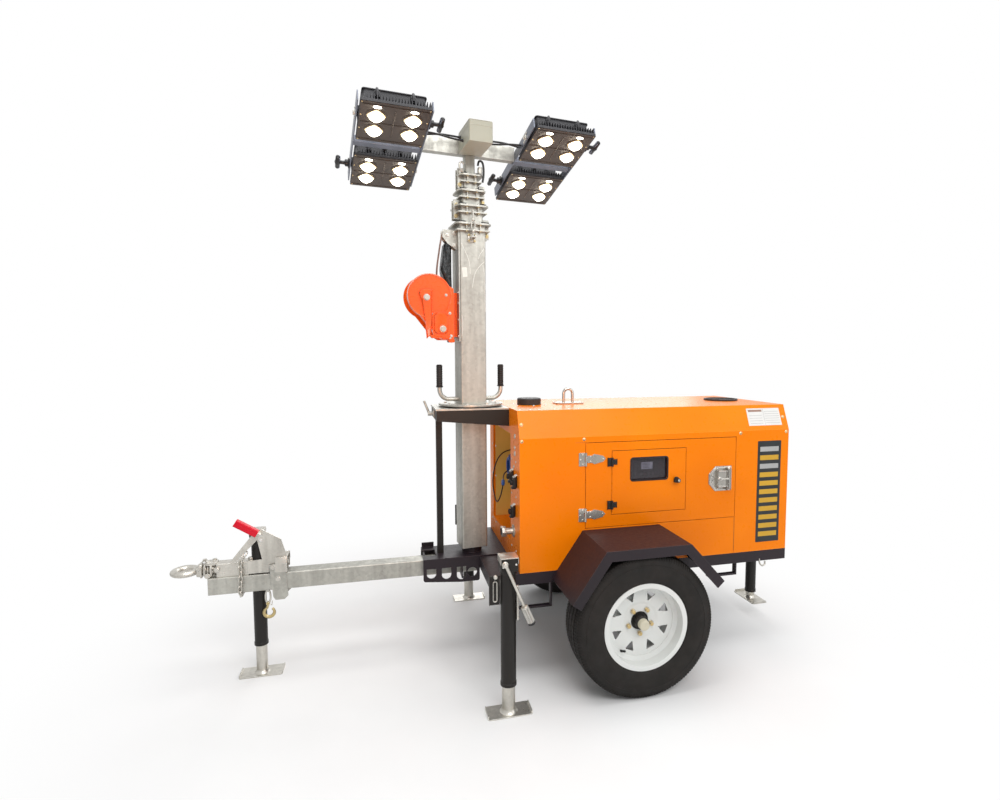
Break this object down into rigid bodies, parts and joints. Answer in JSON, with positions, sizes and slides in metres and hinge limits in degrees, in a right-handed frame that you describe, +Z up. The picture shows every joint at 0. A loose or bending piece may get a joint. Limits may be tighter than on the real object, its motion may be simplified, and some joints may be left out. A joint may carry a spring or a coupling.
{
  "type": "mobile light tower",
  "caption": "Towable light tower: generator canopy on a one-axle trailer with winding jacks, a turning telescopic winch mast and tilting LED floodlights.",
  "frame": {"origin": "on the ground, below the middle of the whole trailer", "axes": "+X forward to the tow eye, +Y to the left-hand side, +Z up"},
  "size_m": [3.077, 1.38, 2.6159],
  "materials": {
    "tyre": "black rubber with moulded tread",
    "wheel_white": "gloss white paint",
    "frame_black": "semi-gloss charcoal paint",
    "canopy_orange": "gloss orange powder coat",
    "engine_grey": "matt grey",
    "galvanised": "hot-dip galvanised, slightly spangled",
    "stainless": "polished stainless",
    "panel_black": "matt black plastic",
    "window_glass": "smoked acrylic",
    "winch_orange": "gloss red-orange paint",
    "bag_black": "glossy black sheet",
    "box_grey": "satin grey paint",
    "lamp_black": "black anodised",
    "lamp_bar": "satin blue-grey",
    "cable_black": "matt black cable sheath",
    "roof_dark": "dark grey"
  },
  "bodies": {
    "chassis": {"running_gear": "frame_black", "floor_frame": "frame_black", "under_frame": "frame_black", "drawbar_housing": "frame_black", "canopy_roof": "canopy_orange", "canopy_left": "canopy_orange", "canopy_right": "canopy_orange", "canopy_front": "canopy_orange", "canopy_rear": "canopy_orange", "engine_block": "engine_grey", "hinge_leaves": "stainless", "fenders": "frame_black", "drawbar": "galvanised", "overrun_coupling": "galvanised", "tow_eye": "galvanised", "handbrake": "galvanised", "jack_mounts": "frame_black", "mast_stand": "frame_black", "stand_plate": "galvanised", "lifting_eye": "galvanised", "roof_fittings": "roof_dark", "power_sockets": "panel_black", "lead_loop": "cable_black"},
    "left_wheel": {"tyre_left": "tyre", "wheel_left": "wheel_white"},
    "right_wheel": {"tyre_right": "tyre", "wheel_right": "wheel_white"},
    "left_door": {"service_door_left": "canopy_orange", "door_hardware_left": "stainless", "control_panel": "panel_black"},
    "right_door": {"service_door_right": "canopy_orange", "door_hardware_right": "stainless"},
    "control_hatch": {"control_door": "canopy_orange", "control_window": "window_glass"},
    "left_jack": {"corner_jack_left": "frame_black"},
    "right_jack": {"corner_jack_right": "frame_black"},
    "left_jack_leg": {"corner_leg_left": "galvanised"},
    "right_jack_leg": {"corner_leg_right": "galvanised"},
    "tongue_jack_leg": {"tongue_leg": "galvanised"},
    "rear_jack_leg": {"rear_leg": "galvanised"},
    "mast_base": {"mast_section_1": "galvanised", "mast_turntable": "galvanised", "winch_frame": "winch_orange", "winch_drum": "galvanised", "cable_bag": "bag_black"},
    "mast_2": {"mast_section_2": "galvanised"},
    "mast_3": {"mast_section_3": "galvanised"},
    "mast_4": {"mast_section_4": "galvanised"},
    "mast_head": {"mast_section_5": "galvanised", "head_crossbar": "galvanised", "junction_box": "box_grey", "lamp_frames": "lamp_bar", "lamp_cable_front_far": "cable_black", "lamp_cable_front_near": "cable_black", "lamp_cable_rear_far": "cable_black", "lamp_cable_rear_near": "cable_black"},
    "lamp_1": {"lamp_front_near": "lamp_black"},
    "lamp_2": {"lamp_front_far": "lamp_black"},
    "lamp_3": {"lamp_rear_near": "lamp_black"},
    "lamp_4": {"lamp_rear_far": "lamp_black"}
  },
  "joints": [
    {"name": "left_wheel_spin", "type": "hinge", "parent": "chassis", "child": "left_wheel", "pos_m": [-0.5035, 0.586, 0.325], "axis": [0, 1, 0], "continuous": true},
    {"name": "right_wheel_spin", "type": "hinge", "parent": "chassis", "child": "right_wheel", "pos_m": [-0.5035, -0.586, 0.325], "axis": [0, 1, 0], "continuous": true},
    {"name": "left_door_hinge", "type": "hinge", "parent": "chassis", "child": "left_door", "pos_m": [-0.322, 0.382, 0.9], "axis": [0, 0, -1], "range_deg": [0, 100]},
    {"name": "right_door_hinge", "type": "hinge", "parent": "chassis", "child": "right_door", "pos_m": [-0.322, -0.382, 0.9], "axis": [0, 0, 1], "range_deg": [0, 100]},
    {"name": "control_hatch_hinge", "type": "hinge", "parent": "left_door", "child": "control_hatch", "pos_m": [-0.454, 0.382, 0.9], "axis": [0, 0, -1], "range_deg": [0, 90]},
    {"name": "left_jack_swivel", "type": "hinge", "parent": "chassis", "child": "left_jack", "pos_m": [0.0965, 0.55, 0.478], "axis": [0, -1, 0], "range_deg": [0, 90]},
    {"name": "right_jack_swivel", "type": "hinge", "parent": "chassis", "child": "right_jack", "pos_m": [0.0965, -0.55, 0.478], "axis": [0, -1, 0], "range_deg": [0, 90]},
    {"name": "left_jack_wind", "type": "slide", "parent": "left_jack", "child": "left_jack_leg", "axis": [0, 0, 1], "range_m": [0, 0.1]},
    {"name": "right_jack_wind", "type": "slide", "parent": "right_jack", "child": "right_jack_leg", "axis": [0, 0, 1], "range_m": [0, 0.1]},
    {"name": "tongue_jack_wind", "type": "slide", "parent": "chassis", "child": "tongue_jack_leg", "axis": [0, 0, 1], "range_m": [0, 0.12]},
    {"name": "rear_jack_wind", "type": "slide", "parent": "chassis", "child": "rear_jack_leg", "axis": [0, 0, 1], "range_m": [-0.078, 0.02]},
    {"name": "mast_turn", "type": "hinge", "parent": "chassis", "child": "mast_base", "pos_m": [0.1605, 0, 1.26], "axis": [0, 0, 1], "range_deg": [-170, 170]},
    {"name": "mast_raise", "type": "slide", "parent": "mast_base", "child": "mast_2", "axis": [0, 0, 1], "range_m": [0, 1.2]},
    {"name": "mast_raise_3", "type": "slide", "parent": "mast_2", "child": "mast_3", "axis": [0, 0, 1], "range_m": [0, 1.2]},
    {"name": "mast_raise_4", "type": "slide", "parent": "mast_3", "child": "mast_4", "axis": [0, 0, 1], "range_m": [0, 1.2]},
    {"name": "mast_raise_5", "type": "slide", "parent": "mast_4", "child": "mast_head", "axis": [0, 0, 1], "range_m": [0, 1.2]},
    {"name": "lamp_1_tilt", "type": "hinge", "parent": "mast_head", "child": "lamp_1", "pos_m": [0.52309, 0.22251, 2.53754], "axis": [0.9925, 0.1219, 0], "range_deg": [-35, 35]},
    {"name": "lamp_2_tilt", "type": "hinge", "parent": "mast_head", "child": "lamp_2", "pos_m": [0.56829, -0.14565, 2.43815], "axis": [0.9925, 0.1219, 0], "range_deg": [-35, 35]},
    {"name": "lamp_3_tilt", "type": "hinge", "parent": "mast_head", "child": "lamp_3", "pos_m": [-0.24515, 0.12818, 2.53754], "axis": [0.9925, 0.1219, 0], "range_deg": [-35, 35]},
    {"name": "lamp_4_tilt", "type": "hinge", "parent": "mast_head", "child": "lamp_4", "pos_m": [-0.19994, -0.23997, 2.43815], "axis": [0.9925, 0.1219, 0], "range_deg": [-35, 35]}
  ],
  "couplings": [
    {"joint": "mast_raise_3", "follows": "mast_raise", "ratio": 1},
    {"joint": "mast_raise_4", "follows": "mast_raise", "ratio": 1},
    {"joint": "mast_raise_5", "follows": "mast_raise", "ratio": 1}
  ]
}
